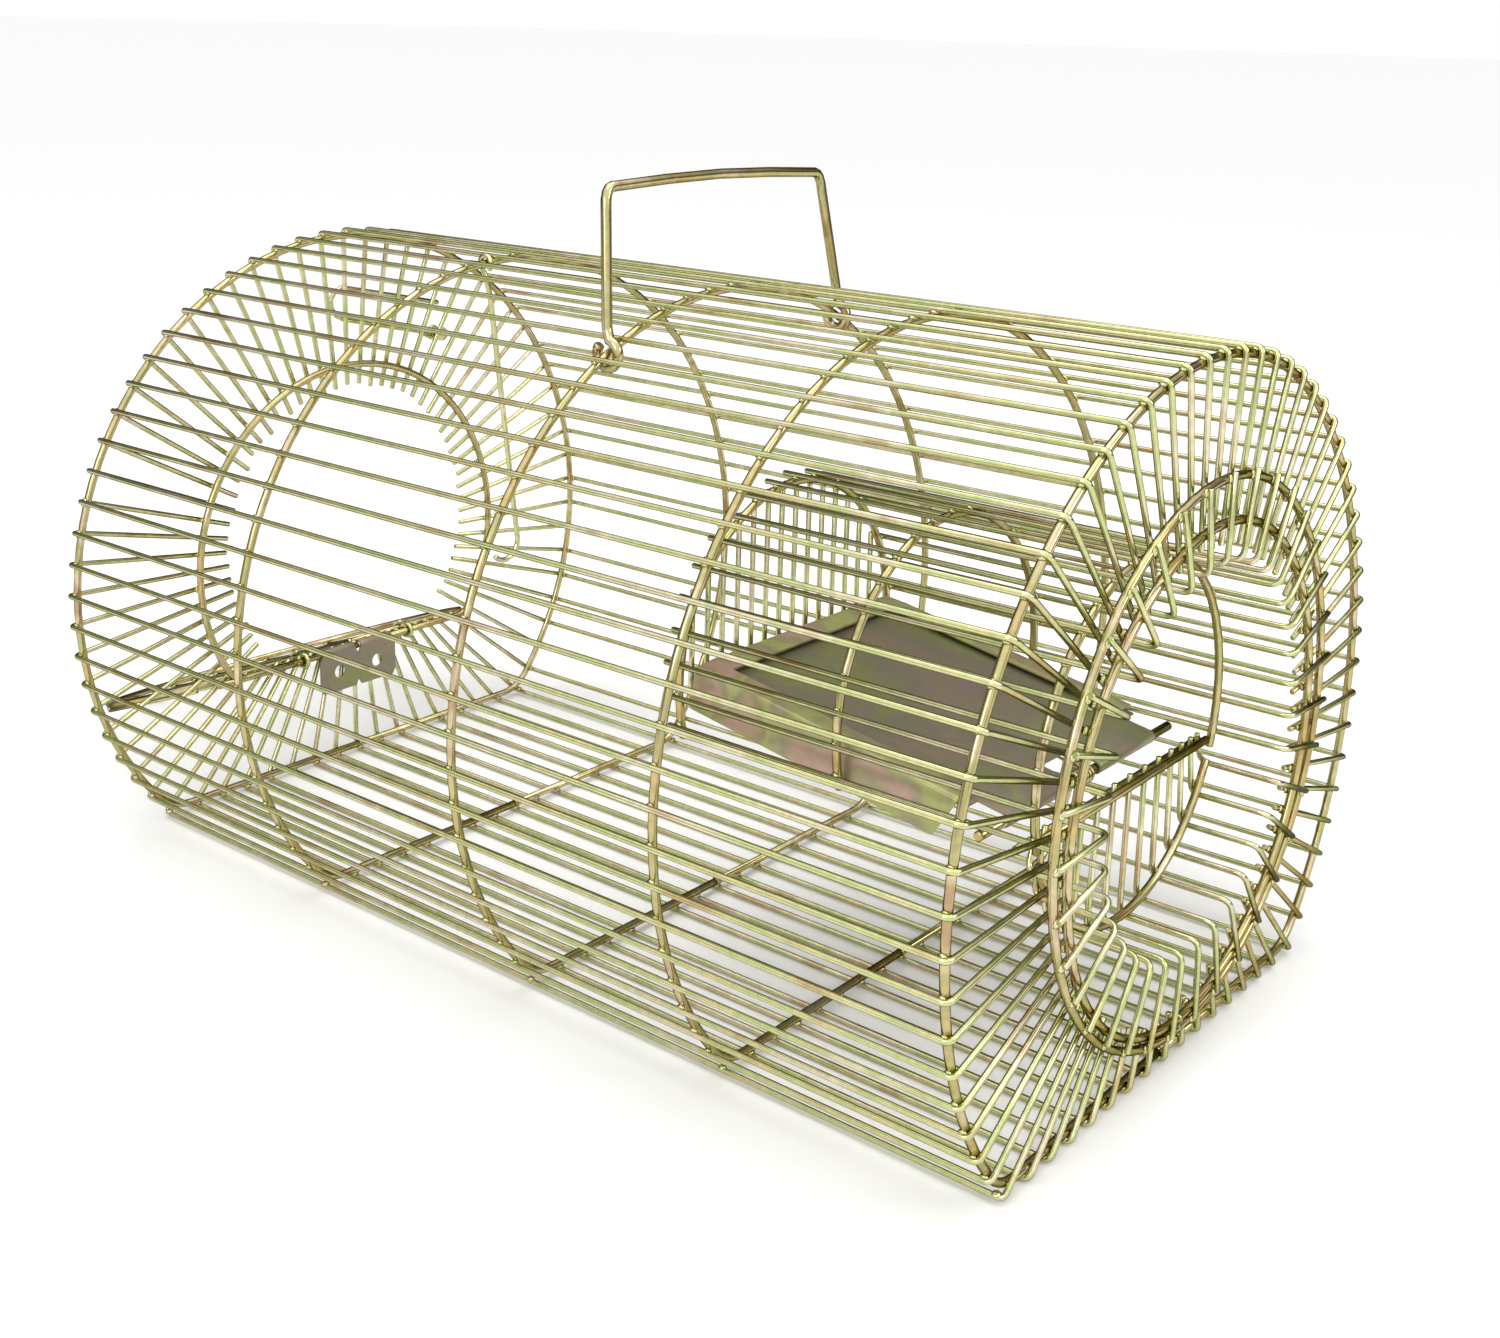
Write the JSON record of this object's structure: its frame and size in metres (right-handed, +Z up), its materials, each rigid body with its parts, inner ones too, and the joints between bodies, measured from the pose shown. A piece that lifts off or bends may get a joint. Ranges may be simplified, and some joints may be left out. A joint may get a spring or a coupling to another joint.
{
  "type": "live catch trap",
  "caption": "Barrel-shaped cage trap of welded wire with a flat floor, a funnel mouth, a tilting treadle, a bait hook, a rear door with a swivel latch and a bail handle.",
  "frame": {"origin": "on the ground under the middle of the bounding box, with the rear door open", "axes": "+X from the rear door to the mouth, +Z up, +Y to the left seen from the rear"},
  "size_m": [0.4794, 0.2506, 0.2465],
  "materials": {
    "hoop_wire": "yellow zinc-plated steel wire",
    "cage_wire": "yellow-green zinc-plated steel wire",
    "spring_wire": "yellow zinc-plated spring wire",
    "tread_sheet": "iridescent yellow zinc-plated sheet steel"
  },
  "bodies": {
    "cage": {"hoop_rear": "hoop_wire", "hoop_second": "hoop_wire", "hoop_middle": "hoop_wire", "hoop_fourth": "hoop_wire", "hoop_front": "hoop_wire", "rear_ring": "hoop_wire", "throat_ring": "hoop_wire", "mouth_ring": "hoop_wire", "cage_wires_01": "cage_wire", "cage_wires_02": "cage_wire", "cage_wires_03": "cage_wire", "cage_wires_04": "cage_wire", "cage_wires_05": "cage_wire", "cage_wires_06": "cage_wire", "cage_wires_07": "cage_wire", "cage_wires_08": "cage_wire", "cage_wires_09": "cage_wire", "cage_wires_10": "cage_wire", "cage_wires_11": "cage_wire", "floor_wires_01": "cage_wire", "floor_wires_02": "cage_wire", "floor_wires_03": "cage_wire", "tunnel_roof_wires_left": "cage_wire", "tunnel_roof_wires_top": "cage_wire", "tunnel_roof_wires_right": "cage_wire", "funnel_floor_wires_left": "cage_wire", "funnel_floor_wires_right": "cage_wire", "tunnel_arch_back": "hoop_wire", "tunnel_arch_middle": "hoop_wire", "tunnel_arch_front": "hoop_wire", "sill_bar": "hoop_wire", "sill_rear_bar": "hoop_wire", "sill_half_ring": "hoop_wire", "back_grille": "cage_wire", "pivot_rod": "hoop_wire", "tread_frame": "tread_sheet", "hinge_clip_left": "cage_wire", "hinge_clip_right": "cage_wire", "hinge_plate": "tread_sheet", "latch_pin": "hoop_wire"},
    "treadle": {"treadle_plate": "tread_sheet", "return_spring": "spring_wire"},
    "handle": {"handle_bail": "hoop_wire"},
    "rear_door": {"door_frame": "hoop_wire", "door_wires": "cage_wire"},
    "latch": {"door_latch": "cage_wire"},
    "bait_hook": {"bait_hook": "cage_wire"}
  },
  "joints": [
    {"name": "treadle_tilt", "type": "hinge", "parent": "cage", "child": "treadle", "pos_m": [0.1993, 0, 0.0805], "axis": [0, -1, 0], "range_deg": [0, 45], "stiffness_Nm_per_rad": 0.06, "springref_deg": -51.57},
    {"name": "handle_swing", "type": "hinge", "parent": "cage", "child": "handle", "pos_m": [0.0633, 0, 0.1949], "axis": [0, 1, 0], "range_deg": [-55, 69]},
    {"name": "rear_door_swing", "type": "hinge", "parent": "cage", "child": "rear_door", "pos_m": [-0.1307, 0, 0.0454], "axis": [0, 1, 0], "range_deg": [0, 111]},
    {"name": "latch_swing", "type": "hinge", "parent": "cage", "child": "latch", "pos_m": [-0.1353, 0.051, 0.1654], "axis": [1, 0, 0], "range_deg": [0, 24]},
    {"name": "bait_hook_swing", "type": "hinge", "parent": "cage", "child": "bait_hook", "pos_m": [-0.0357, -0.0133, 0.2087], "axis": [0, 1, 0], "range_deg": [-35, 35]}
  ]
}
